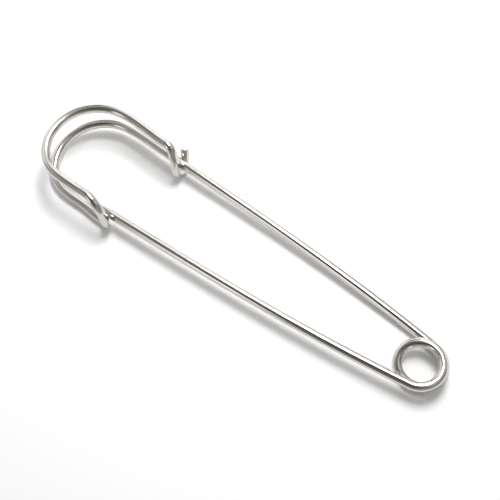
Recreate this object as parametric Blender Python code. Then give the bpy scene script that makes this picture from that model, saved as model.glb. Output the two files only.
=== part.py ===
"""Kilt pin bent from one plated wire: sprung pin leg, coil, bar, doubled U guard, catch and bar wrap. Metres, +Z up."""
import bpy
import math
import numpy as np

# Driving dimensions
wire_d = 0.0015
coil_r = 0.0035
level_step = 0.00195
turn_shift = 0.00075
leg_bow = 0.0037
bar_run = 0.054
catch_ahead = 0.002
point_len = 0.0055
past_catch = 0.0045
tip_d = 0.00018
guard_w = 0.0156
pin_rise = 0.002565
clasp_gap = 0.0002
part_gap = 0.0003
curve_step = 0.00105
leg_step = 0.0036

# Counts and shares
ring_sides_res = 4
ring_sides = 12
turn_points = 36
coil_turns_down_share = (0.28, 0.64)
wrap_at_share = 0.95
leg_end_shares = (0.451, 0.462)
knot_shares = (0.80, 0.88, 0.95, 1.0)
tail_share = 1.0
point_shares = (1.0, 0.93, 0.82, 0.68, 0.50, 0.30)

# Guard in plan as shares of its width (past the bar end, across) and its two wires' heights in wire diameters
guard_shares = (
    (0.399, 0.472, 1.610, 4.410),
    (0.784, 0.425, 1.503, 4.503),
    (1.044, 0.186, 1.283, 4.603),
    (1.081, -0.181, 0.990, 4.677),
    (0.854, -0.457, 0.710, 4.703),
    (0.512, -0.507, 0.603, 4.637),
)

# Catch from the lower wire to the upper one, about the pin leg, in wire diameters (along, outward, up)
catch_shares = (
    (-2.55, 0.53, -1.180),
    (-1.02, 0.72, -1.205),
    (-0.12, 0.75, -1.170),
    (0.55, 0.92, -0.790),
    (0.82, 1.13, -0.050),
    (0.65, 1.02, 0.720),
    (0.30, 0.88, 1.640),
    (-0.43, 0.67, 2.500),
    (-1.32, 0.48, 2.850),
    (-2.55, 0.46, 2.870),
)

# Upper wire's way down to the bar, about the bar, in wire diameters (along, across, up)
drop_shares = (
    (-1.87, -0.04, 2.705),
    (-1.17, -0.10, 2.635),
    (-0.77, -0.25, 2.315),
    (-0.50, -0.47, 1.850),
    (-0.23, -0.70, 1.315),
    (-0.03, -0.93, 0.690),
)

# Wrap round the bar (along in wire diameters, turn in degrees) and its cut end (along, past the radius, up)
wrap_shares = ((0.08, 180), (0.12, 215), (0.06, 250), (-0.08, 285), (-0.34, 328))
stub_shares = ((-0.520, 0.156, -0.076), (-0.701, 0.483, 0.449))

# The coil's lower level rests on its wire's flat facets
pin_run = bar_run + catch_ahead
wire_r = wire_d / 2
half_facet = math.pi / ring_sides
clasp_r = wire_d + clasp_gap
low_level = wire_r * math.cos(half_facet)
high_level = low_level + level_step

objects = list(bpy.data.objects)
for old in objects:
    bpy.data.objects.remove(old)
parts = bpy.data.collections.new("kilt_pin")
bpy.context.scene.collection.children.link(parts)


def plating(name, colour, roughness):
    """A Principled material for one sub-part."""
    material = bpy.data.materials.new("plating_" + name)
    material.use_nodes = True
    shader = material.node_tree.nodes["Principled BSDF"]
    shader.inputs["Base Color"].default_value = (*colour, 1.0)
    shader.inputs["Metallic"].default_value = 1.0
    shader.inputs["Roughness"].default_value = roughness
    material.diffuse_color = (*colour, 1.0)
    return material


def spline_through(knots):
    """A natural cubic spline through the knots: its function of length along the chords, and the knots' lengths."""
    knots = np.array(knots)
    span = np.linalg.norm(np.diff(knots, axis=0), axis=1)
    length = np.concatenate(([0.0], np.cumsum(span)))
    rows = len(knots)
    system = np.eye(rows)
    right = np.zeros((rows, 3))
    for i in range(1, rows - 1):
        before, after = span[i - 1], span[i]
        system[i, i - 1] = before
        system[i, i] = 2 * (before + after)
        system[i, i + 1] = after
        right[i] = 6 * ((knots[i + 1] - knots[i]) / after - (knots[i] - knots[i - 1]) / before)
    bend = np.linalg.solve(system, right)

    def at(where):
        where = np.atleast_1d(where)
        i = np.clip(np.searchsorted(length, where) - 1, 0, rows - 2)
        h = span[i][:, None]
        b = (where - length[i])[:, None] / h
        a = 1 - b
        cubic = ((a**3 - a) * bend[i] + (b**3 - b) * bend[i + 1]) * h**2 / 6
        return a * knots[i] + b * knots[i + 1] + cubic

    return at, length


def samples(at, start, end, step):
    """Points of a path at even lengths between two of its lengths."""
    count = max(2, round((end - start) / step) + 1)
    return at(np.linspace(start, end, count))


def splay(run, end_share):
    """The angle at which a leg leaves the coil so that its end stands at its share of the guard's width."""
    reach = math.hypot(run, coil_r - leg_bow)
    return math.asin((end_share * guard_w - turn_shift / 2) / reach) - math.atan2(coil_r - leg_bow, run)


def leg(side, run, leg_angle):
    """A sprung leg as a function of its share: straight off the coil, then drawn in as a beam bent at its end."""
    angle = side * (math.pi / 2 - leg_angle)
    along = np.array([-math.cos(leg_angle), side * math.sin(leg_angle)])
    across = np.array([-side * along[1], side * along[0]])
    centre = np.array([0.0, side * turn_shift / 2])
    root = centre + coil_r * np.array([math.cos(angle), math.sin(angle)])

    def at(share):
        share = np.atleast_1d(share)
        inside = np.minimum(share, 1.0)
        bow = (3 * inside**2 - inside**3) / 2 + 1.5 * (share - inside)
        return root + np.outer(share * run, along) + np.outer(leg_bow * bow, across)

    return at


def level(at, low, high, full):
    """Adds the heights to a leg: even from low at the coil to high at the share full."""
    def with_height(share):
        share = np.atleast_1d(share)
        return np.column_stack((at(share), low + (high - low) * share / full))

    return with_height


bar_angle = splay(bar_run, leg_end_shares[0])
pin_angle = splay(pin_run, leg_end_shares[1])
bar = level(leg(1, bar_run, bar_angle), low_level, wire_r + clasp_r, wrap_at_share)
pin = level(leg(-1, pin_run, pin_angle), high_level, pin_rise, 1.0)

# Coil: half a turn level at the pin, half a turn down, half a turn level at the bar
coil_start = pin_angle - math.pi / 2
coil_end = 5 * math.pi / 2 - bar_angle
turn = np.linspace(coil_start, coil_end, round(turn_points * (coil_end - coil_start) / (2 * math.pi)) + 1)
drop_from, drop_to = (coil_start + share * (coil_end - coil_start) for share in coil_turns_down_share)
fall = np.clip((turn - drop_from) / (drop_to - drop_from), 0, 1)
fall = fall * fall * (3 - 2 * fall)
shift = np.clip((turn - math.pi / 2) / math.pi, 0, 1)
shift = shift * shift * (3 - 2 * shift)
coil = np.column_stack((
    coil_r * np.cos(turn),
    coil_r * np.sin(turn) + (shift - 0.5) * turn_shift,
    high_level - level_step * fall,
))
tail = tail_share * wire_d
coil = np.concatenate((pin([tail / pin_run]), coil, bar([tail / bar_run])))

# Guard, catch and wrap: one path of knots from the bar's end to the cut end
bar_end = bar(1.0)[0]
guard_low = [
    (bar_end[0] - past * guard_w, across * guard_w, low * wire_d)
    for past, across, low, high in guard_shares
]
guard_high = [
    (bar_end[0] - past * guard_w, across * guard_w, high * wire_d)
    for past, across, low, high in guard_shares
]
held = pin(1.0)[0]
catch = [
    (held[0] + along * wire_d, held[1] - out * wire_d, held[2] + up * wire_d)
    for along, out, up in catch_shares
]
wrapped = bar(wrap_at_share)[0]
drop = [
    (wrapped[0] + along * wire_d, wrapped[1] + across * wire_d, wrapped[2] + up * wire_d)
    for along, across, up in drop_shares
]
wrap = [
    (
        wrapped[0] + along * wire_d,
        wrapped[1] + clasp_r * math.cos(math.radians(turned)),
        wrapped[2] + clasp_r * math.sin(math.radians(turned)),
    )
    for along, turned in wrap_shares
]
stub = [
    (wrapped[0] + along * wire_d, wrapped[1] + clasp_r + past * wire_d, wrapped[2] + up * wire_d)
    for along, past, up in stub_shares
]
knots = [tuple(bar(share)[0]) for share in knot_shares]
low_start = len(knots) - 1
knots += guard_low
catch_start = len(knots)
knots += catch
catch_end = len(knots) - 2
knots += guard_high[::-1]
wrap_start = len(knots)
knots += drop + wrap + stub
path, reached = spline_through(knots)

# The part's frame: the middle of its length and width, on the floor
reach = samples(path, 0.0, reached[-1], leg_step / 4)
middle_x = (reach[:, 0].min() + coil[:, 0].max()) / 2
middle_y = (reach[:, 1].min() + reach[:, 1].max()) / 2
frame_origin = np.array([middle_x, middle_y, 0.0])
hinge = np.array([0.0, 0.0, high_level]) - frame_origin


def wire(name, points, colour, roughness, shares=None, origin=(0.0, 0.0, 0.0), roll=0.0):
    """One length of wire along its centreline, with its radii as shares of the wire's and its facets rolled."""
    curve = bpy.data.curves.new(name, "CURVE")
    curve.dimensions = "3D"
    curve.twist_mode = "Z_UP"
    curve.bevel_depth = wire_r
    curve.bevel_resolution = ring_sides_res
    curve.use_fill_caps = True
    line = curve.splines.new("POLY")
    line.points.add(len(points) - 1)
    placed = points - frame_origin - np.array(origin)
    for i, point in enumerate(placed):
        line.points[i].co = (*point, 1.0)
        line.points[i].radius = 1.0 if shares is None else shares[i]
        line.points[i].tilt = roll
    line.use_smooth = True
    curve.materials.append(plating(name, colour, roughness))
    made = bpy.data.objects.new(name, curve)
    made.location = origin
    parts.objects.link(made)
    return made


half_gap = part_gap / 2
silver = (0.78, 0.77, 0.75)

# Pin leg with its ground point
pin_end = 1 + past_catch / pin_run
ground_from = pin_end - point_len / pin_run
body = np.linspace((tail + part_gap) / pin_run, ground_from, round(pin_run / leg_step))
ground = np.linspace(ground_from, pin_end, len(point_shares) + 1)[1:]
pin_radii = [1.0] * len(body) + list(point_shares[1:]) + [tip_d / wire_d]
pin_points = pin(np.concatenate((body, ground)))
wire("pin_arm", pin_points, silver, 0.16, pin_radii, tuple(hinge))

# Coil and bar
wire("coil_spring", coil, silver, 0.14, roll=half_facet)
bar_shares = np.linspace((tail + part_gap) / bar_run, 1 - half_gap / bar_run, round(bar_run / leg_step))
wire("back_bar", bar(bar_shares), silver, 0.16)

# Guard wires, catch and wrap
cuts = (
    ("guard_lower_wire", low_start, catch_start, 0.17),
    ("catch_hook", catch_start, catch_end, 0.15),
    ("guard_upper_wire", catch_end, wrap_start, 0.17),
    ("bar_wrap", wrap_start, len(knots) - 1, 0.15),
)
for name, first, last, roughness in cuts:
    start = reached[first] + half_gap
    end = reached[last] - (half_gap if last < len(knots) - 1 else 0.0)
    wire(name, samples(path, start, end, curve_step), silver, roughness)


def least_gap(points, apart):
    """The least gap of a tube to itself between points further apart along it than the given length."""
    run = np.concatenate(([0.0], np.cumsum(np.linalg.norm(np.diff(points, axis=0), axis=1))))
    far = np.abs(run[:, None] - run[None, :]) > apart
    space = np.linalg.norm(points[:, None] - points[None, :], axis=2)
    return space[far].min() - wire_d


dense = np.concatenate([coil[:-1] + (coil[1:] - coil[:-1]) * k / 8 for k in range(8)])
order = np.argsort(np.concatenate([np.arange(len(coil) - 1) + k / 8 for k in range(8)]))
wound = dense[order]
whole = samples(path, reached[wrap_start], reached[-1], curve_step / 4)
straight = bar(np.linspace(0.5, 1.0, 400))
catch_path = samples(path, reached[catch_start], reached[catch_end], curve_step / 4)
needle = pin(np.linspace(0.8, pin_end, 400))
print("coil least gap to itself (mm):", 1000 * least_gap(wound, math.pi * coil_r))
print("wrap least gap to itself (mm):", 1000 * least_gap(whole, math.pi * clasp_r))
print("wrap to bar (mm):", 1000 * (np.linalg.norm(whole[:, None] - straight[None], axis=2).min() - wire_d))
print("catch to pin (mm):", 1000 * (np.linalg.norm(catch_path[:, None] - needle[None], axis=2).min() - wire_d))
print("leg angles (degrees):", math.degrees(bar_angle), math.degrees(pin_angle))
print("hinge (m):", hinge)
print("length (mm):", 1000 * (coil[:, 0].max() - reach[:, 0].min() + wire_d))
print("width, height (mm):", 1000 * (np.ptp(reach[:, 1]) + wire_d), 1000 * (reach[:, 2].max() + wire_r))
print("lowest wire centres (mm):", 1000 * whole[:, 2].min(), 1000 * catch_path[:, 2].min(), 1000 * coil[:, 2].min())
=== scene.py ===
"""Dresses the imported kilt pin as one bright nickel-plated wire on a white table.

The camera stands where the reference picture was taken from. Every length is in metres, and every place is
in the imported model's own frame. The wire's centreline is worked out here from the same driving sizes as its
solids, so each round tube lies in the node that it stands for.
"""
import logging
import math
from dataclasses import dataclass
from enum import Enum
from typing import Sequence

import bpy
import numpy as np
from mathutils import Euler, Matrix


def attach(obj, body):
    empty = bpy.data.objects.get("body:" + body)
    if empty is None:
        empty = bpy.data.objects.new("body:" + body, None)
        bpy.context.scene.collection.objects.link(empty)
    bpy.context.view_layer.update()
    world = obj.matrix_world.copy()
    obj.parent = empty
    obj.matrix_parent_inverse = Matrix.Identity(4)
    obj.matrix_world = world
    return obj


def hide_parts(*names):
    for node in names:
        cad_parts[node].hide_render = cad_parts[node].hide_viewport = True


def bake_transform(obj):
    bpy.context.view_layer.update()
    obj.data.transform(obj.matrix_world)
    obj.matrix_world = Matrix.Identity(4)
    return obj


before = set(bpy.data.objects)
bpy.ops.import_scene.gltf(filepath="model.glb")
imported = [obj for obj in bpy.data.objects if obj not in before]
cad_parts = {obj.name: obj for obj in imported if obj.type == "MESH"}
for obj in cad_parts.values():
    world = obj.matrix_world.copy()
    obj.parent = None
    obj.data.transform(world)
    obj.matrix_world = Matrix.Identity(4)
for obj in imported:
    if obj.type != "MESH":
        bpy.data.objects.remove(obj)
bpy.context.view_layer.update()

log = logging.getLogger("kilt_pin")
Array = np.ndarray
Colour = tuple[float, float, float]
Triple = tuple[float, float, float]
Socket = bpy.types.NodeSocket
Feeds = dict[str | int, object]
UP = np.array([0.0, 0.0, 1.0])
PLACE = "wire_place"
STRAIN = "wire_strain"


class Body(Enum):
    """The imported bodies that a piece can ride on."""

    FRAME = "frame"
    PIN = "pin"


class End(Enum):
    """How a length of wire ends."""

    JOINED = "joined"
    SHEARED = "sheared"
    POINTED = "pointed"


@dataclass(frozen=True)
class WireSizes:
    """Driving sizes of the bent wire, in metres, and the shares that shape its bends.

    Attributes:
        wire_d: The wire's thickness.
        coil_r: Radius of the coil's centreline.
        level_step: Height from the coil's lower level to its upper one.
        turn_shift: How far apart the middles of its two turns stand, across the pin.
        leg_bow: How far the end of each leg is bent aside.
        bar_run: Length of the bar from the coil to the guard.
        catch_ahead: How much further the pin leg runs to the catch.
        point_len: Length of the ground point.
        past_catch: How far the tip stands past the catch.
        tip_d: Thickness of the tip.
        guard_w: Width of the guard.
        pin_rise: Height of the pin leg in the catch.
        clasp_gap: Clear distance between the wrap and the bar.
        joint_lap: How far a length of wire laps into its neighbour.
        facets: Sides of the solids' tubes.
        coil_turns_down_share: Shares of the coil's turning between which it comes down.
        wrap_at_share: Share of the bar's run at which it is wrapped.
        leg_end_shares: How far off the middle line the bar and the pin leg end, in guard widths.
        knot_shares: Shares of the bar's run at which the guard's path has its first knots.
        point_shares: Thickness along the ground point, in wire diameters, as far as the tip.
        guard_shares: Knots round the guard, past the bar's end and across in guard widths, with the heights
            of the lower and the upper wire in wire diameters.
        catch_shares: Knots round the pin leg in the catch, along, out and up in wire diameters.
        drop_shares: Knots down to the bar from the guard, along, across and up in wire diameters.
        wrap_shares: Knots round the bar, along in wire diameters and turned in degrees.
        stub_shares: Knots of the cut end, along, past the wrap and up in wire diameters.
    """

    wire_d: float = 0.0015
    coil_r: float = 0.0035
    level_step: float = 0.00195
    turn_shift: float = 0.00075
    leg_bow: float = 0.0037
    bar_run: float = 0.054
    catch_ahead: float = 0.002
    point_len: float = 0.0055
    past_catch: float = 0.0045
    tip_d: float = 0.00018
    guard_w: float = 0.0156
    pin_rise: float = 0.002565
    clasp_gap: float = 0.0002
    joint_lap: float = 0.0001
    facets: int = 12
    coil_turns_down_share: tuple[float, float] = (0.28, 0.64)
    wrap_at_share: float = 0.95
    leg_end_shares: tuple[float, float] = (0.451, 0.462)
    knot_shares: tuple[float, ...] = (0.80, 0.88, 0.95, 1.0)
    point_shares: tuple[float, ...] = (1.0, 0.93, 0.82, 0.68, 0.50, 0.30)
    guard_shares: tuple[tuple[float, ...], ...] = (
        (0.399, 0.472, 1.610, 4.410),
        (0.784, 0.425, 1.503, 4.503),
        (1.044, 0.186, 1.283, 4.603),
        (1.081, -0.181, 0.990, 4.677),
        (0.854, -0.457, 0.710, 4.703),
        (0.512, -0.507, 0.603, 4.637),
    )
    catch_shares: tuple[Triple, ...] = (
        (-2.55, 0.53, -1.180),
        (-1.02, 0.72, -1.205),
        (-0.12, 0.75, -1.170),
        (0.55, 0.92, -0.790),
        (0.82, 1.13, -0.050),
        (0.65, 1.02, 0.720),
        (0.30, 0.88, 1.640),
        (-0.43, 0.67, 2.500),
        (-1.32, 0.48, 2.850),
        (-2.55, 0.46, 2.870),
    )
    drop_shares: tuple[Triple, ...] = (
        (-1.87, -0.04, 2.705),
        (-1.17, -0.10, 2.635),
        (-0.77, -0.25, 2.315),
        (-0.50, -0.47, 1.850),
        (-0.23, -0.70, 1.315),
        (-0.03, -0.93, 0.690),
    )
    wrap_shares: tuple[tuple[float, float], ...] = (
        (0.08, 180), (0.12, 215), (0.06, 250), (-0.08, 285), (-0.34, 328),
    )
    stub_shares: tuple[Triple, ...] = ((-0.520, 0.156, -0.076), (-0.701, 0.483, 0.449))

    @property
    def wire_r(self) -> float:
        """Half the wire's thickness."""
        return self.wire_d / 2

    @property
    def clasp_r(self) -> float:
        """Radius of the wrap's centreline about the bar."""
        return self.wire_d + self.clasp_gap

    @property
    def pin_run(self) -> float:
        """Length of the pin leg from the coil to the catch."""
        return self.bar_run + self.catch_ahead

    @property
    def high_level(self) -> float:
        """Height of the coil's upper level, a step above the solid's lower one, which rests on a facet."""
        return self.wire_r * math.cos(math.pi / self.facets) + self.level_step


class Spline:
    """A natural cubic spline through knots, as a function of length along their chords."""

    def __init__(self, knots: Sequence[Sequence[float]]) -> None:
        """Solves for the second derivatives that make the first ones continuous, with none at the two ends.

        Args:
            knots: Points that the curve passes through, in order.
        """
        self.knots = np.array(knots)
        self.span = np.linalg.norm(np.diff(self.knots, axis=0), axis=1)
        self.length = np.concatenate(([0.0], np.cumsum(self.span)))
        before, after = self.span[:-1], self.span[1:]
        slope = np.diff(self.knots, axis=0) / self.span[:, None]
        inner = np.arange(1, len(self.knots) - 1)
        system = np.eye(len(self.knots))
        system[inner, inner - 1] = before
        system[inner, inner] = 2 * (before + after)
        system[inner, inner + 1] = after
        right = np.zeros_like(self.knots)
        right[1:-1] = 6 * np.diff(slope, axis=0)
        self.bend = np.linalg.solve(system, right)

    def at(self, where: Array) -> Array:
        """Points at lengths along the chords.

        Args:
            where: Lengths along the chords.

        Returns:
            One point a row.
        """
        where = np.atleast_1d(where)
        i = np.clip(np.searchsorted(self.length, where) - 1, 0, len(self.span) - 1)
        h = self.span[i][:, None]
        b = (where - self.length[i])[:, None] / h
        a = 1 - b
        cubic = ((a**3 - a) * self.bend[i] + (b**3 - b) * self.bend[i + 1]) * h**2 / 6
        return a * self.knots[i] + b * self.knots[i + 1] + cubic

    def between(self, start: float, end: float, step: float) -> Array:
        """Points at even lengths between two lengths, about a step apart."""
        return self.at(np.linspace(start, end, max(2, round((end - start) / step) + 1)))


def smooth(share: Array) -> Array:
    """Smoothstep of a share held between zero and one: 3 s squared less 2 s cubed."""
    held = np.clip(share, 0.0, 1.0)
    return held * held * (3 - 2 * held)


class BentWire:
    """The centreline of the whole wire, from the ground point round to the cut end."""

    def __init__(self, sizes: WireSizes) -> None:
        """Works out both legs, the coil and the path round the guard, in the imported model's frame.

        Args:
            sizes: The driving sizes.
        """
        self.sizes = sizes
        self.low_level = sizes.wire_r
        bar_end, pin_end = sizes.leg_end_shares
        self.bar_angle = self._splay(sizes.bar_run, bar_end)
        self.pin_angle = self._splay(sizes.pin_run, pin_end)
        self.origin = np.zeros(3)
        knots = self._guard_knots()
        self.path = Spline(knots)
        self.origin = self._middle()
        self.path = Spline(np.array(knots) - self.origin)

    def _splay(self, run: float, end_share: float) -> float:
        """The angle at which a leg leaves the coil so that its end stands where it should across the guard.

        Args:
            run: Length of the leg.
            end_share: How far off the middle line its end stands, in guard widths.

        Returns:
            The angle to the middle line.
        """
        s = self.sizes
        reach = math.hypot(run, s.coil_r - s.leg_bow)
        off_axis = end_share * s.guard_w - s.turn_shift / 2
        return math.asin(off_axis / reach) - math.atan2(s.coil_r - s.leg_bow, run)

    def _leg(self, side: int, share: Array) -> Array:
        """Plan of a leg: straight off the coil, plus the deflection of a beam bent by a force at its end.

        Args:
            side: 1 for the bar and -1 for the pin leg.
            share: Shares of the leg's run, which may pass one.

        Returns:
            Points in plan about the coil's middle, one a row.
        """
        s = self.sizes
        run, leg_angle = (s.bar_run, self.bar_angle) if side > 0 else (s.pin_run, self.pin_angle)
        angle = side * (math.pi / 2 - leg_angle)
        along = np.array([-math.cos(leg_angle), side * math.sin(leg_angle)])
        across = np.array([-side * along[1], side * along[0]])
        root = np.array([0.0, side * s.turn_shift / 2])
        root += s.coil_r * np.array([math.cos(angle), math.sin(angle)])
        inside = np.minimum(share, 1.0)
        bow = (3 * inside**2 - inside**3) / 2 + 1.5 * (share - inside)
        return root + np.outer(share * run, along) + np.outer(s.leg_bow * bow, across)

    def bar(self, share: Array) -> Array:
        """Points of the fixed leg, which climbs evenly to the wrap.

        Args:
            share: Shares of the leg's run.

        Returns:
            One point a row.
        """
        s = self.sizes
        share = np.atleast_1d(share)
        climb = (s.wire_r + s.clasp_r - self.low_level) * share / s.wrap_at_share
        return np.column_stack((self._leg(1, share), self.low_level + climb)) - self.origin

    def pin(self, share: Array) -> Array:
        """Points of the sprung leg, which sinks evenly to its height in the catch.

        Args:
            share: Shares of the leg's run, which pass one beyond the catch.

        Returns:
            One point a row.
        """
        s = self.sizes
        share = np.atleast_1d(share)
        sink = (s.pin_rise - s.high_level) * share
        return np.column_stack((self._leg(-1, share), s.high_level + sink)) - self.origin

    def coil(self, points_a_turn: int) -> Array:
        """Points of the coil, which is level for about half a turn at each leg and comes down between.

        Args:
            points_a_turn: How many points one full turn has.

        Returns:
            Points from the pin leg's tangent to the bar's, one a row.
        """
        s = self.sizes
        start = self.pin_angle - math.pi / 2
        end = 5 * math.pi / 2 - self.bar_angle
        turn = np.linspace(start, end, round(points_a_turn * (end - start) / (2 * math.pi)) + 1)
        drop_from, drop_to = (start + share * (end - start) for share in s.coil_turns_down_share)
        fall = smooth((turn - drop_from) / (drop_to - drop_from))
        shift = smooth((turn - math.pi / 2) / math.pi)
        return np.column_stack((
            s.coil_r * np.cos(turn),
            s.coil_r * np.sin(turn) + (shift - 0.5) * s.turn_shift,
            s.high_level + (self.low_level - s.high_level) * fall,
        )) - self.origin

    def _guard_knots(self) -> list[tuple[float, ...]]:
        """Lays the path from the bar's end round the guard, through the catch and back to the cut end.

        It also keeps the numbers of the knots at which one length of wire ends and the next starts.

        Returns:
            The path's knots in order.
        """
        s = self.sizes
        d = s.wire_d
        end = self.bar(1.0)[0]
        rows = [((end[0] - past * s.guard_w, across * s.guard_w), low * d, high * d)
                for past, across, low, high in s.guard_shares]
        held = self.pin(1.0)[0]
        wrapped = self.bar(s.wrap_at_share)[0]
        knots = [tuple(self.bar(share)[0]) for share in s.knot_shares]
        self.low_start = len(knots) - 1
        knots += [(*plan, low) for plan, low, high in rows]
        self.catch_start = len(knots)
        knots += [tuple(held + d * np.array([along, -out, up])) for along, out, up in s.catch_shares]
        self.catch_end = len(knots) - 2
        knots += [(*plan, high) for plan, low, high in rows[::-1]]
        self.wrap_start = len(knots)
        knots += [tuple(wrapped + d * np.array(share)) for share in s.drop_shares]
        for along, turned in s.wrap_shares:
            arm = s.clasp_r * np.array([math.cos(math.radians(turned)), math.sin(math.radians(turned))])
            knots.append((wrapped[0] + along * d, *(wrapped[1:] + arm)))
        for along, past, up in s.stub_shares:
            knots.append((wrapped[0] + along * d, wrapped[1] + s.clasp_r + past * d, wrapped[2] + up * d))
        return knots

    def _middle(self) -> Array:
        """The middle of the length and the width, on the floor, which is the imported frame's origin.

        Returns:
            One point, measured from the coil's middle.
        """
        reach = self.path.between(0.0, self.path.length[-1], self.sizes.wire_d / 2)
        far = self.coil(points_a_turn=360)[:, 0].max()
        return np.array([(reach[:, 0].min() + far) / 2, (reach[:, 1].min() + reach[:, 1].max()) / 2, 0.0])

    def stretch(self, first: int, last: int, step: float) -> Array:
        """Points of the guard's path between two knots and a lap past each, so that no hairline shows."""
        lap = self.sizes.joint_lap
        return self.path.between(self.path.length[first] - lap, self.path.length[last] + lap, step)

    @property
    def hinge(self) -> Array:
        """The middle of the coil at its upper level."""
        return np.array([0.0, 0.0, self.sizes.high_level]) - self.origin


def add_object(name: str, data: bpy.types.ID) -> bpy.types.Object:
    """Makes an object of a mesh, a light or a camera, and links it to the scene.

    Args:
        name: The object's name.
        data: What it shows.

    Returns:
        The new object.
    """
    made = bpy.data.objects.new(name, data)
    bpy.context.scene.collection.objects.link(made)
    return made


@dataclass(frozen=True)
class EndShape:
    """How a wire's end is worked, in shares of its radius there.

    Attributes:
        rim: Radius of the small rolled rim that the cutter leaves.
        rim_rings: Rings round the rim.
        dish_from: Radius of the first ring of the dish inside the rim.
        dish_to: Radius of its last ring.
        dish_rings: Rings down the dish.
        dish_edge: Radius at which the dish is level with the rim.
        dish_depth: Depth of its middle.
        tip_out: How far a ground tip stands out past its last full ring.
        tip_rings: Rings round the tip.
    """

    rim: float = 0.10
    rim_rings: int = 4
    dish_from: float = 0.82
    dish_to: float = 0.06
    dish_rings: int = 9
    dish_edge: float = 0.90
    dish_depth: float = 0.34
    tip_out: float = 0.9
    tip_rings: int = 4

    def rings(self, kind: End) -> tuple[Array, Array]:
        """Rings past an end: a sheared end's rim and dish, or a pointed one's tip. A joined end has none.

        Args:
            kind: How the wire ends.

        Returns:
            Offsets outwards along the path, and radii.
        """
        if kind is End.SHEARED:
            turn = np.linspace(0.0, math.pi / 2, self.rim_rings + 1)[1:]
            rim_out = self.rim * np.sin(turn)
            rim_in = 1 - self.rim * (1 - np.cos(turn))
            dish = np.linspace(self.dish_from, self.dish_to, self.dish_rings)
            depth = self.rim - self.dish_depth * np.sqrt(np.clip(1 - (dish / self.dish_edge) ** 2, 0, 1))
            return np.concatenate((rim_out, depth)), np.concatenate((rim_in, dish))
        if kind is End.POINTED:
            turn = np.linspace(0.0, math.pi / 2, self.tip_rings + 2)[1:-1]
            return self.tip_out * np.sin(turn), np.cos(turn)
        return np.array([]), np.array([])


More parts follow.
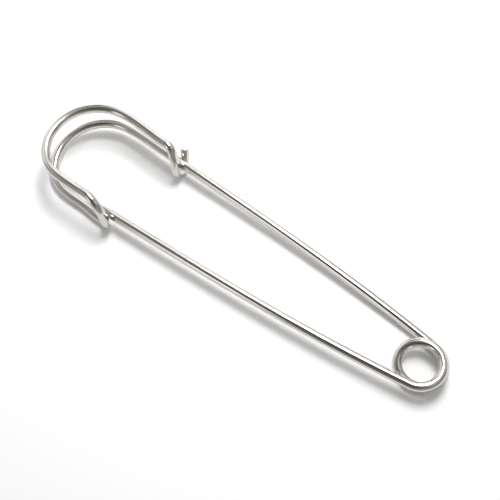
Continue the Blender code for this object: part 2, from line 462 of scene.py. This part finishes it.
@dataclass
class Tube:
    """A round wire: a circle carried along a centreline, closed at both ends.

    The ring at a point lies across the path there. Its zero direction is the given one less its part along
    the path. Rings narrower than a share of the widest are the worked ones, which take the second finish.
    """

    name: str
    line: Array
    radius: Array
    towards: Array
    start: End = End.JOINED
    end: End = End.JOINED
    ends: EndShape = EndShape()
    sides: int = 56
    worked_below: float = 0.92

    def _run(self) -> Array:
        """Length along the centreline at each of its points."""
        return np.concatenate(([0.0], np.cumsum(np.linalg.norm(np.diff(self.line, axis=0), axis=1))))

    def _frames(self) -> tuple[Array, Array, Array]:
        """Directions at each point of the centreline.

        Returns:
            Unit tangents by differences over the length, and the two unit vectors across them.
        """
        tangent = np.gradient(self.line, self._run(), axis=0, edge_order=2)
        tangent /= np.linalg.norm(tangent, axis=1, keepdims=True)
        towards = np.broadcast_to(self.towards, self.line.shape)
        zero = towards - (towards * tangent).sum(axis=1, keepdims=True) * tangent
        zero /= np.linalg.norm(zero, axis=1, keepdims=True)
        return tangent, zero, np.cross(tangent, zero)

    def build(self, finishes: Sequence[bpy.types.Material]) -> bpy.types.Object:
        """Makes the mesh with its attributes and materials.

        Args:
            finishes: The wire's finish, and one for the narrower rings of an end that is sheared or ground.

        Returns:
            The new object, linked to the scene.
        """
        tangent, zero, side = self._frames()
        start_out, start_share = self.ends.rings(self.start)
        end_out, end_share = self.ends.rings(self.end)
        count = len(self.line)
        index = np.concatenate((
            np.zeros(len(start_out), int), np.arange(count), np.full(len(end_out), count - 1),
        ))
        out = np.concatenate((-start_out[::-1], np.zeros(count), end_out)) * self.radius[index]
        share = np.concatenate((start_share[::-1], np.ones(count), end_share))
        radius = self.radius[index] * share
        centre = self.line[index] + tangent[index] * out[:, None]
        turn = np.linspace(0.0, 2 * math.pi, self.sides, endpoint=False)
        cos, sin = np.cos(turn), np.sin(turn)
        ring = zero[index][:, None] * cos[None, :, None] + side[index][:, None] * sin[None, :, None]
        grid = centre[:, None] + radius[:, None, None] * ring
        points = np.concatenate((grid.reshape(-1, 3), centre[:1], centre[-1:]))
        mesh = self._mesh(points, radius)
        self._attributes(mesh, self._run()[index] + out, index, cos, sin)
        self._normals(mesh, ring, (share == 1.0) & (self.radius[index] == self.radius.max()))
        for finish in finishes:
            mesh.materials.append(finish)
        return add_object(self.name, mesh)

    def _mesh(self, points: Array, radius: Array) -> bpy.types.Mesh:
        """Faces between the rings, with a fan to a middle point at each end, all pointing outwards.

        Args:
            points: The rings' vertices in order, and then the two middle points.
            radius: The radius of each ring. Faces between two narrower rings take the second finish.

        Returns:
            The mesh, shaded smooth except at joined ends.
        """
        rings = len(radius)
        worked = radius < self.worked_below * self.radius.max()
        step = np.arange(self.sides)
        after = (step + 1) % self.sides
        low = np.arange(rings - 1)[:, None] * self.sides
        walls = np.stack((low + step, low + after, low + self.sides + after, low + self.sides + step), axis=2)
        walls = walls.reshape(-1, 4)
        top = (rings - 1) * self.sides
        first, last = rings * self.sides, rings * self.sides + 1
        fans = np.concatenate((
            np.stack((after, step, np.full(self.sides, first)), axis=1),
            np.stack((top + step, top + after, np.full(self.sides, last)), axis=1),
        ))
        mesh = bpy.data.meshes.new(self.name)
        mesh.from_pydata(points, [], walls.tolist() + fans.tolist())
        smooth_ends = np.repeat([self.start is not End.JOINED, self.end is not End.JOINED], self.sides)
        mesh.polygons.foreach_set("use_smooth", np.concatenate((np.ones(len(walls), bool), smooth_ends)))
        second = np.repeat(np.concatenate((worked[:-1] & worked[1:], worked[[0, -1]])), self.sides)
        mesh.polygons.foreach_set("material_index", second.astype(np.int32))
        return mesh

    def _attributes(self, mesh: bpy.types.Mesh, run: Array, index: Array, cos: Array, sin: Array) -> None:
        """Puts on the mesh where each vertex lies on the wire, and how hard the wire is bent there.

        The place is the cosine and sine of the turn round the wire and the length along it in wire diameters.
        The strain is the wire's radius over the radius of its bend.

        Args:
            mesh: The tube's mesh.
            run: Length along the wire at each ring.
            index: The point of the centreline that each ring belongs to.
            cos: Cosine of the turn at each vertex of a ring.
            sin: Sine of the turn there.
        """
        wire = self.radius.max()
        along = run / (2 * wire)
        grid = (len(along), self.sides)
        place = np.stack((
            np.broadcast_to(cos, grid), np.broadcast_to(sin, grid), np.broadcast_to(along[:, None], grid),
        ), axis=2).reshape(-1, 3)
        place = np.concatenate((place, [[0.0, 0.0, along[0]], [0.0, 0.0, along[-1]]]))
        mesh.attributes.new(PLACE, "FLOAT_VECTOR", "POINT").data.foreach_set("vector", place.ravel())
        bend = np.linalg.norm(np.gradient(self._frames()[0], self._run(), axis=0), axis=1) * wire
        strain = np.concatenate((np.repeat(bend[index], self.sides), [bend[0], bend[-1]]))
        mesh.attributes.new(STRAIN, "FLOAT", "POINT").data.foreach_set("value", strain)

    def _normals(self, mesh: bpy.types.Mesh, ring: Array, even: Array) -> None:
        """Gives the even stretch's corners the ring's own directions, so that lengths of wire meet unseen.

        Args:
            mesh: The tube's mesh.
            ring: Unit vectors outwards, one a vertex of each ring.
            even: Which rings have the wire's full radius.
        """
        outward = np.concatenate((np.where(even[:, None, None], ring, 0.0).reshape(-1, 3), np.zeros((2, 3))))
        corner = np.empty(len(mesh.loops), int)
        mesh.loops.foreach_get("vertex_index", corner)
        corners = np.empty(len(mesh.polygons), int)
        mesh.polygons.foreach_get("loop_total", corners)
        face_of = np.repeat(np.arange(len(corners)), corners)
        wall = face_of < (len(even) - 1) * self.sides
        mesh.normals_split_custom_set(np.where(wall[:, None], outward[corner], 0.0).tolist())


class Nodes:
    """A short way to add and join the nodes of a material."""

    def __init__(self, tree: bpy.types.NodeTree) -> None:
        """Keeps the tree that nodes are added to."""
        self.tree = tree

    def feed(self, node: bpy.types.Node, feeds: Feeds) -> None:
        """Gives a node's inputs what they read.

        Args:
            node: The node.
            feeds: Sockets, which are joined, or values, by each input's name or number.
        """
        for where, what in feeds.items():
            if isinstance(what, Socket):
                self.tree.links.new(what, node.inputs[where])
            else:
                node.inputs[where].default_value = what

    def add(self, kind: str, feeds: Feeds | None = None, **settings: object) -> bpy.types.Node:
        """Adds a node.

        Args:
            kind: The node's type.
            feeds: What its inputs read.
            **settings: Its properties by name.

        Returns:
            The new node.
        """
        node = self.tree.nodes.new(kind)
        for name, value in settings.items():
            setattr(node, name, value)
        self.feed(node, feeds or {})
        return node

    def show(self, shader: Socket) -> None:
        """Makes a shader the material's surface."""
        self.feed(self.tree.nodes["Material Output"], {"Surface": shader})

    def object_place(self) -> Socket:
        """The place on the object."""
        return self.add("ShaderNodeTexCoord").outputs["Object"]

    def maths(self, operation: str, *terms: Socket | float) -> Socket:
        """A Math operation over sockets or numbers."""
        return self.add("ShaderNodeMath", dict(enumerate(terms)), operation=operation).outputs[0]

    def dot(self, vector: Socket, fixed: Sequence[float]) -> Socket:
        """The dot product of a vector with a fixed one."""
        feeds = {0: vector, 1: tuple(fixed)}
        return self.add("ShaderNodeVectorMath", feeds, operation="DOT_PRODUCT").outputs["Value"]

    def noise(self, vector: Socket, scale: float, detail: float) -> Socket:
        """Fractal noise read at a vector, from zero to one."""
        feeds = {"Vector": vector, "Scale": scale, "Detail": detail}
        return self.add("ShaderNodeTexNoise", feeds).outputs["Fac"]

    def stretched(self, vector: Socket, scale: Triple) -> Socket:
        """A vector with its three parts scaled."""
        return self.add("ShaderNodeMapping", {"Vector": vector, "Scale": scale}).outputs["Vector"]

    def spread(self, value: Socket, low: float, high: float) -> Socket:
        """A value from zero to one, mapped onto a range."""
        feeds = {"Value": value, "To Min": low, "To Max": high}
        return self.add("ShaderNodeMapRange", feeds).outputs["Result"]

    def fade(self, value: Socket, zero_at: float, one_at: float) -> Socket:
        """A smoothstep of a value, which is zero at one value and one at another."""
        feeds = {"Value": value, "From Min": zero_at, "From Max": one_at}
        return self.add("ShaderNodeMapRange", feeds, interpolation_type="SMOOTHSTEP").outputs["Result"]

    def tint(self, share: Socket, first: Socket | Colour, second: Colour) -> Socket:
        """A mix of two colours by the share of the second."""
        feeds = {0: share, 6: first if isinstance(first, Socket) else (*first, 1.0), 7: (*second, 1.0)}
        return self.add("ShaderNodeMix", feeds, data_type="RGBA").outputs[2]

    def blend(self, share: Socket, first: Socket, second: Socket) -> Socket:
        """A mix of two shaders by the share of the second."""
        return self.add("ShaderNodeMixShader", {0: share, 1: first, 2: second}).outputs[0]


def metal(name: str) -> tuple[bpy.types.Material, Nodes, bpy.types.Node]:
    """Makes a material with one metallic shader.

    Args:
        name: The material's name.

    Returns:
        The material, its nodes and the shader among them.
    """
    material = bpy.data.materials.new(name)
    material.use_nodes = True
    shader = material.node_tree.nodes["Principled BSDF"]
    shader.inputs["Metallic"].default_value = 1.0
    return material, Nodes(material.node_tree), shader


def bare_material(name: str) -> tuple[bpy.types.Material, Nodes]:
    """Makes a material that shows no shader yet.

    Args:
        name: The material's name.

    Returns:
        The material and its nodes.
    """
    material = bpy.data.materials.new(name)
    material.use_nodes = True
    material.node_tree.nodes.remove(material.node_tree.nodes["Principled BSDF"])
    return material, Nodes(material.node_tree)


@dataclass(frozen=True)
class NickelPlate:
    """Bright nickel plate on drawn wire: mirror-like, with faint drawing lines, a ripple and cloudy patches.

    It is a little rougher and more rippled where the wire was bent hard. The lines and the ripple are noise
    stretched over the wire's own place, and the clouds are noise over Object coordinates.
    """

    name: str = "bright_nickel"
    pale: Colour = (0.615, 0.592, 0.558)
    warm: Colour = (0.575, 0.548, 0.506)
    smoothest: float = 0.06
    roughest: float = 0.16
    cloud_scale: float = 420.0
    line_share: float = 0.6
    line_stretch: Triple = (9.0, 9.0, 0.35)
    line_bump: float = 0.000004
    ripple_stretch: Triple = (1.2, 1.2, 0.9)
    ripple_bump: float = 0.00003
    straight_ripple: float = 0.25
    bend_ripple: float = 1.0
    bend_wear: float = 0.5

    def build(self) -> bpy.types.Material:
        """Builds the node tree.

        Returns:
            The material.
        """
        material, n, shader = metal(self.name)
        place = n.add("ShaderNodeAttribute", attribute_name=PLACE).outputs["Vector"]
        strain = n.add("ShaderNodeAttribute", attribute_name=STRAIN).outputs["Fac"]
        clouds = n.noise(n.object_place(), self.cloud_scale, 3.0)
        lines = n.noise(n.stretched(place, self.line_stretch), 1.0, 4.0)
        cloud_part = n.maths("MULTIPLY", clouds, 1 - self.line_share)
        worn = n.maths("ADD", n.maths("MULTIPLY", lines, self.line_share), cloud_part)
        worn = n.maths("MULTIPLY_ADD", strain, self.bend_wear, worn)
        ripple = n.add("ShaderNodeBump", {
            "Height": n.noise(n.stretched(place, self.ripple_stretch), 1.0, 2.0),
            "Distance": self.ripple_bump,
            "Strength": n.maths("MULTIPLY_ADD", strain, self.bend_ripple, self.straight_ripple),
        })
        drawn = n.add("ShaderNodeBump", {
            "Height": lines, "Distance": self.line_bump, "Normal": ripple.outputs["Normal"],
        })
        n.feed(shader, {
            "Base Color": n.tint(clouds, self.pale, self.warm),
            "Roughness": n.spread(worn, self.smoothest, self.roughest),
            "Normal": drawn.outputs["Normal"],
        })
        return material


@dataclass(frozen=True)
class WorkedSteel:
    """A satin face left by a tool: torn by the cutter across the wire's end, or ground round its point.

    Its grain is noise stretched over the wire's own place.
    """

    name: str
    colour: Colour
    smoothest: float
    roughest: float
    grain: Triple
    grain_bump: float

    def build(self) -> bpy.types.Material:
        """Builds the node tree.

        Returns:
            The material.
        """
        material, n, shader = metal(self.name)
        place = n.add("ShaderNodeAttribute", attribute_name=PLACE).outputs["Vector"]
        grain = n.noise(n.stretched(place, self.grain), 1.0, 5.0)
        bump = n.add("ShaderNodeBump", {"Height": grain, "Distance": self.grain_bump})
        n.feed(shader, {
            "Base Color": (*self.colour, 1.0),
            "Roughness": n.spread(grain, self.smoothest, self.roughest),
            "Normal": bump.outputs["Normal"],
        })
        return material


TORN_END = WorkedSteel("torn_end", (0.86, 0.85, 0.83), 0.34, 0.62, (6.0, 1.5, 3.0), 0.000006)
GROUND_POINT = WorkedSteel("ground_point", (0.60, 0.585, 0.56), 0.14, 0.30, (1.5, 1.5, 26.0), 0.000003)


@dataclass
class WirePiece:
    """What each length of wire has: the wire, its finishes, node and body, and the step between rings."""

    wire: BentWire
    finish: bpy.types.Material
    worked: WorkedSteel | None = None
    node: str = ""
    body: Body = Body.FRAME
    step: float = 0.0003

    def _place(self, tube: Tube) -> None:
        """Builds a tube and dresses it, puts it on its body and lets it stand for its node.

        Args:
            tube: The length of wire.
        """
        piece = tube.build([self.finish] + ([self.worked.build()] if self.worked else []))
        self._mount(piece)
        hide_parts(self.node)
        log.info("%s: %d faces", piece.name, len(piece.data.polygons))

    def _mount(self, piece: bpy.types.Object) -> None:
        """Puts the piece on its body."""
        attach(piece, self.body.value)

    def _even(self, line: Array) -> Array:
        """The wire's radius at every point of a line."""
        return np.full(len(line), self.wire.sizes.wire_r)


@dataclass
class PinLeg(WirePiece):
    """The sprung leg with its ground point."""

    worked: WorkedSteel | None = GROUND_POINT
    node: str = "pin_arm"
    body: Body = Body.PIN
    step: float = 0.0005
    taper_step: float = 0.0005 / 3

    def build(self) -> None:
        """Carries the wire from the coil to the tip, narrowing along the ground length."""
        s = self.wire.sizes
        tail = s.wire_d / s.pin_run
        tip = 1 + s.past_catch / s.pin_run
        ground = tip - s.point_len / s.pin_run
        body = np.linspace(tail, ground, round((ground - tail) * s.pin_run / self.step))
        taper = np.linspace(ground, tip, round(s.point_len / self.taper_step) + 1)[1:]
        knots = np.linspace(ground, tip, len(s.point_shares) + 1)
        shares = np.interp(taper, knots, (*s.point_shares, s.tip_d / s.wire_d))
        line = self.wire.pin(np.concatenate((body, taper)))
        radius = s.wire_r * np.concatenate((np.ones(len(body)), shares))
        self._place(Tube("sprung_pin_leg", line, radius, UP, end=End.POINTED))


@dataclass
class CoilSpring(WirePiece):
    """One and a half turns between the two legs, which wind up as the pin leg is squeezed."""

    node: str = "coil_spring"
    points_a_turn: int = 200
    tail_points: int = 12

    def build(self) -> None:
        """Carries the wire round the coil, with a diameter of each leg and a lap into it."""
        s = self.wire.sizes
        tail = s.wire_d + s.joint_lap
        pin_tail = self.wire.pin(np.linspace(tail / s.pin_run, 0.0, self.tail_points + 1)[:-1])
        bar_tail = self.wire.bar(np.linspace(0.0, tail / s.bar_run, self.tail_points + 1)[1:])
        line = np.concatenate((pin_tail, self.wire.coil(self.points_a_turn), bar_tail))
        self._place(Tube("coil_turns", line, self._even(line), UP))

    def _mount(self, piece: bpy.types.Object) -> None:
        """Bakes the coil's place into its mesh and puts it on neither body, since it runs between both over
        the height between its two levels.

        Args:
            piece: The coil.
        """
        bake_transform(piece)


@dataclass
class BackBar(WirePiece):
    """The fixed leg from the coil to the guard."""

    node: str = "back_bar"
    step: float = 0.0005

    def build(self) -> None:
        """Carries the wire along the leg."""
        s = self.wire.sizes
        line = self.wire.bar(np.linspace(s.wire_d / s.bar_run, 1.0, round(s.bar_run / self.step)))
        self._place(Tube("fixed_back_bar", line, self._even(line), UP))


@dataclass
class LowerGuard(WirePiece):
    """The lower wire of the U-shaped guard."""

    node: str = "guard_lower_wire"

    def build(self) -> None:
        """Carries the wire round the U from the bar to the catch."""
        line = self.wire.stretch(self.wire.low_start, self.wire.catch_start, self.step)
        self._place(Tube("lower_guard_bow", line, self._even(line), UP))


@dataclass
class UpperGuard(WirePiece):
    """The upper wire of the guard."""

    node: str = "guard_upper_wire"

    def build(self) -> None:
        """Carries the wire back round the U from the catch to the wrap."""
        line = self.wire.stretch(self.wire.catch_end, self.wire.wrap_start, self.step)
        self._place(Tube("upper_guard_bow", line, self._even(line), UP))


@dataclass
class CatchHook(WirePiece):
    """The end of the guard, doubled over to hold the pin leg."""

    node: str = "catch_hook"
    step: float = 0.00012

    def build(self) -> None:
        """Carries the wire under, round and back over the pin leg."""
        line = self.wire.stretch(self.wire.catch_start, self.wire.catch_end, self.step)
        held = self.wire.pin(1.0)[0]
        towards = (held - line) * np.array([0.0, 1.0, 1.0])
        self._place(Tube("catch_bend", line, self._even(line), towards))


@dataclass
class BarWrap(WirePiece):
    """The wire's last turn round the bar, with its cut end standing up."""

    worked: WorkedSteel | None = TORN_END
    node: str = "bar_wrap"
    step: float = 0.00012

    def build(self) -> None:
        """Carries the wire down, round the bar and up to its sheared end, whose rim ends the path."""
        s = self.wire.sizes
        path = self.wire.path
        start = path.length[self.wire.wrap_start] - s.joint_lap
        line = path.between(start, path.length[-1] - EndShape().rim * s.wire_r, self.step)
        wrapped = self.wire.bar(s.wrap_at_share)[0]
        towards = (wrapped - line) * np.array([0.0, 1.0, 1.0])
        self._place(Tube("wrap_and_stub", line, self._even(line), towards, end=End.SHEARED))


PIECES = (PinLeg, CoilSpring, BackBar, LowerGuard, UpperGuard, CatchHook, BarWrap)


def grey(shine: float) -> Colour:
    """The neutral colour of that brightness."""
    return shine, shine, shine


def towards_sky(azimuth_deg: float, elevation_deg: float) -> Array:
    """The way to a place in the tent from the table's middle.

    Args:
        azimuth_deg: 0 along the pin to the coil, and 90 past the bar.
        elevation_deg: Height over the table.

    Returns:
        A unit vector.
    """
    azimuth, elevation = math.radians(azimuth_deg), math.radians(elevation_deg)
    flat = math.cos(elevation)
    return np.array([flat * math.cos(azimuth), flat * math.sin(azimuth), math.sin(elevation)])


@dataclass(frozen=True)
class TentPatch:
    """A soft-edged oval of the tent: where its middle is, how wide and tall it looks, and how bright."""

    name: str
    azimuth_deg: float
    elevation_deg: float
    half_width_deg: float
    half_height_deg: float
    shine: float
    softness: float = 0.35

    def share(self, n: Nodes, view: Socket) -> Socket:
        """How much of a direction lies in the patch: one inside, falling smoothly to zero across its edge.

        Args:
            n: The nodes of the tent's cloth.
            view: The direction that is looked up.

        Returns:
            The share as a socket.
        """
        middle = towards_sky(self.azimuth_deg, self.elevation_deg)
        wide = towards_sky(self.azimuth_deg + 90.0, 0.0)
        tall = np.cross(middle, wide)
        across = n.dot(view, wide / math.sin(math.radians(self.half_width_deg)))
        up = n.dot(view, tall / math.sin(math.radians(self.half_height_deg)))
        radius = n.maths("SQRT", n.maths("ADD", n.maths("POWER", across, 2.0), n.maths("POWER", up, 2.0)))
        inside = n.fade(radius, 1 + self.softness, 1 - self.softness)
        ahead = n.maths("GREATER_THAN", n.dot(view, middle), 0.0)
        return n.maths("MULTIPLY", inside, ahead)


@dataclass(frozen=True)
class Sheet:
    """A level rectangle about its own middle."""

    name: str
    half_size: tuple[float, float]
    faces_up: bool

    def build(self, finish: bpy.types.Material) -> bpy.types.Object:
        """Makes the rectangle as one face.

        Args:
            finish: Its material.

        Returns:
            The new object, linked to the scene.
        """
        x, y = self.half_size
        mesh = bpy.data.meshes.new(self.name)
        corners = [(-x, -y, 0.0), (x, -y, 0.0), (x, y, 0.0), (-x, y, 0.0)]
        mesh.from_pydata(corners, [], [(0, 1, 2, 3) if self.faces_up else (0, 3, 2, 1)])
        mesh.materials.append(finish)
        return add_object(self.name, mesh)


@dataclass(frozen=True)
class SoftPanel:
    """A level panel over the table with soft, rounded edges, which lights the pin and is mirrored in it."""

    name: str
    middle: Triple
    half_size: tuple[float, float]
    shine: float
    softness: float = 0.25

    def build(self) -> None:
        """Hangs the panel as one rectangle whose shine fades to nothing across its edge.

        The edge is where (x/a)^4 + (y/b)^4 = 1, and the fade is a smoothstep of that sum's fourth root.
        """
        material, n = bare_material(self.name)
        place = n.object_place()
        fourths = []
        for axis, half in zip(np.eye(3), self.half_size):
            part = n.dot(place, axis / half)
            square = n.maths("MULTIPLY", part, part)
            fourths.append(n.maths("MULTIPLY", square, square))
        root = n.maths("POWER", n.maths("ADD", *fourths), 0.25)
        inside = n.fade(root, 1 + self.softness, 1 - self.softness)
        clear = n.add("ShaderNodeBsdfTransparent").outputs[0]
        glow = n.add("ShaderNodeEmission", {"Color": (*grey(self.shine), 1.0)}).outputs[0]
        n.show(n.blend(inside, clear, glow))
        half_x, half_y = (half * (1 + self.softness) for half in self.half_size)
        made = Sheet(self.name, (half_x, half_y), faces_up=False).build(material)
        made.location = self.middle
        made.visible_camera = False


@dataclass(frozen=True)
class Studio:
    """The white table, the tent, panels and lamp that light the pin, and the camera.

    Attributes:
        eye: Where the camera stands.
        tilt_deg: Its turn about X, from facing straight down.
        lean_deg: Its turn about Y.
        swing_deg: Its turn about Z.
        focal_px: Its focal length in the picture's pixels.
        picture_px: The picture's width in pixels.
        sensor_mm: The sensor's width.
        nearest_seen: How near the camera starts to see.
        table: Width of the table.
        table_white: How white the paper is in the light that it returns to the pin.
        table_seen: How white it is to the camera and in the metal.
        table_fade: Distances from the pin over which it fades into the backdrop.
        lamp_at: The lamp's middle.
        lamp_size: Its length and width.
        lamp_turn_deg: Its turn about Z.
        lamp_shine: Its radiance.
        tent_radius: Radius of the tent.
        tent_foot: Elevation of its foot in radians, a little under the table.
        tent_rings: Rings of its frame.
        tent_sides: Sides of its frame.
        walls: The tent's colour between its patches.
        patches: Its patches, each over the ones before it.
        panels: The panels over the table.
    """

    eye: Triple = (0.04465635, -0.04322878, 0.13323910)
    tilt_deg: float = 24.7779
    lean_deg: float = 3.9587
    swing_deg: float = 36.1170
    focal_px: float = 905.223
    picture_px: int = 500
    sensor_mm: float = 36.0
    nearest_seen: float = 0.005
    table: float = 3.6
    table_white: float = 0.80
    table_seen: float = 0.98
    table_fade: tuple[float, float] = (0.065, 0.14)
    lamp_at: Triple = (-0.025, 0.091, 0.190)
    lamp_size: tuple[float, float] = (0.105, 0.062)
    lamp_turn_deg: float = 133.0
    lamp_shine: float = 16.5
    tent_radius: float = 2.0
    tent_foot: float = -0.03
    tent_rings: int = 13
    tent_sides: int = 36
    walls: Colour = (0.28, 0.28, 0.275)
    patches: tuple[TentPatch, ...] = (
        TentPatch("pale_wall", 163.0, 29.3, 39.0, 33.4, 1.13),
        TentPatch("bright_wall", 135.6, 13.5, 30.5, 38.1, 1.66),
        TentPatch("dark_gap", 143.8, 27.6, 12.3, 10.7, 0.16),
        TentPatch("small_lamp", -107.3, 24.1, 7.2, 15.4, 1.80),
        TentPatch("right_side", -28.1, 18.9, 33.0, 18.4, 0.40),
        TentPatch("dim_corner", -135.7, 26.0, 13.7, 17.1, 0.50),
        TentPatch("coil_side", 64.0, 25.7, 26.0, 21.8, 0.71),
        TentPatch("side_glow", 194.0, 12.6, 14.0, 9.6, 0.95),
    )
    panels: tuple[SoftPanel, ...] = (
        SoftPanel("left_card", (-0.243, 0.140, 0.200), (0.091, 0.051), 0.11),
        SoftPanel("window_panel", (-0.023, 0.155, 0.199), (0.064, 0.129), 1.64),
        SoftPanel("camera_side_card", (0.041, -0.178, 0.198), (0.119, 0.127), 0.11),
        SoftPanel("top_card", (-0.118, 0.004, 0.197), (0.058, 0.047), 0.18),
        SoftPanel("far_panel", (-0.125, -0.246, 0.196), (0.035, 0.041), 1.25),
        SoftPanel("coil_panel", (0.134, 0.060, 0.195), (0.066, 0.076), 0.79),
    )

    def camera(self) -> None:
        """Sets the camera where the picture was taken from, with the picture's angle of view."""
        data = bpy.data.cameras.new("picture_camera")
        data.sensor_width = self.sensor_mm
        data.lens = self.focal_px / self.picture_px * self.sensor_mm
        data.clip_start = self.nearest_seen
        made = add_object("picture_camera", data)
        made.location = self.eye
        made.rotation_euler = Euler([math.radians(a) for a in (self.tilt_deg, self.lean_deg, self.swing_deg)])
        bpy.context.scene.camera = made

    def floor(self) -> None:
        """Lays a white table, whose paper is whiter to the camera and in the metal than in its own light.

        Away from the pin it fades for both into the plain white backdrop.
        """
        material, n = bare_material("white_paper")
        rays = n.add("ShaderNodeLightPath")
        seen = n.maths("MAXIMUM", rays.outputs["Is Camera Ray"], rays.outputs["Is Glossy Ray"])
        paper = n.spread(seen, self.table_white, self.table_seen)
        matt = n.add("ShaderNodeBsdfDiffuse", {"Color": paper}).outputs[0]
        distance = n.add("ShaderNodeVectorMath", {0: n.object_place()}, operation="LENGTH")
        far = n.fade(distance.outputs["Value"], *self.table_fade)
        backdrop = n.add("ShaderNodeEmission").outputs[0]
        n.show(n.blend(n.maths("MULTIPLY", far, seen), matt, backdrop))
        Sheet("white_table", (self.table / 2, self.table / 2), faces_up=True).build(material)

    def lamp(self) -> None:
        """Hangs one long lamp behind the bar, facing down, as bright a surface whatever its size."""
        data = bpy.data.lights.new("soft_window", "AREA")
        data.shape = "RECTANGLE"
        data.size, data.size_y = self.lamp_size
        data.energy = self.lamp_shine * math.pi * self.lamp_size[0] * self.lamp_size[1]
        made = add_object("soft_window", data)
        made.location = self.lamp_at
        made.rotation_euler.z = math.radians(self.lamp_turn_deg)
        made.visible_camera = False

    def tent(self) -> None:
        """Stands a dome over the table that lights the pin and shows in it, but not to the camera.

        It is a half sphere, (cos e cos a, cos e sin a, sin e) at each azimuth a and elevation e, a little
        deeper than the table. Its soft patches lie over its even walls in order.
        """
        azimuth = np.linspace(0.0, 2 * math.pi, self.tent_sides, endpoint=False)
        elevation = np.linspace(self.tent_foot, math.pi / 2, self.tent_rings)[:, None]
        across = np.cos(elevation)
        points = np.stack((
            across * np.cos(azimuth), across * np.sin(azimuth), np.sin(elevation) * np.ones_like(azimuth),
        ), axis=2) * self.tent_radius
        step = np.arange(self.tent_sides)
        after = (step + 1) % self.tent_sides
        low = np.arange(self.tent_rings - 1)[:, None] * self.tent_sides
        high = low + self.tent_sides
        faces = np.stack((low + after, low + step, high + step, high + after), axis=2)
        mesh = bpy.data.meshes.new("light_tent")
        mesh.from_pydata(points.reshape(-1, 3), [], faces.reshape(-1, 4).tolist())
        mesh.materials.append(self._tent_cloth())
        made = add_object("light_tent", mesh)
        made.visible_camera = False

    def _tent_cloth(self) -> bpy.types.Material:
        """Builds the tent's glow, by the direction from the table's middle.

        Returns:
            The material.
        """
        material, n = bare_material("tent_cloth")
        view = n.add("ShaderNodeVectorMath", {0: n.object_place()}, operation="NORMALIZE")
        shine = self.walls
        for patch in self.patches:
            shine = n.tint(patch.share(n, view.outputs["Vector"]), shine, grey(patch.shine))
            shine.node.label = patch.name
        n.show(n.add("ShaderNodeEmission", {"Color": shine}).outputs[0])
        return material

    def backdrop(self) -> None:
        """Makes everything past the table and the tent plain white."""
        world = bpy.data.worlds.new("white_backdrop")
        world.use_nodes = True
        world.node_tree.nodes["Background"].inputs["Color"].default_value = (*grey(1.0), 1.0)
        bpy.context.scene.world = world

    def build(self) -> None:
        """Builds all of it and sets how colours are shown."""
        self.camera()
        self.floor()
        self.lamp()
        self.tent()
        self.backdrop()
        for panel in self.panels:
            panel.build()
        bpy.context.scene.view_settings.view_transform = "Standard"


def main() -> None:
    """Builds the studio and every length of the wire in order."""
    logging.basicConfig(level=logging.INFO, format="%(name)s: %(message)s")
    Studio().build()
    wire = BentWire(WireSizes())
    nickel = NickelPlate().build()
    for piece in PIECES:
        piece(wire, nickel).build()


if __name__ == "__main__":
    main()
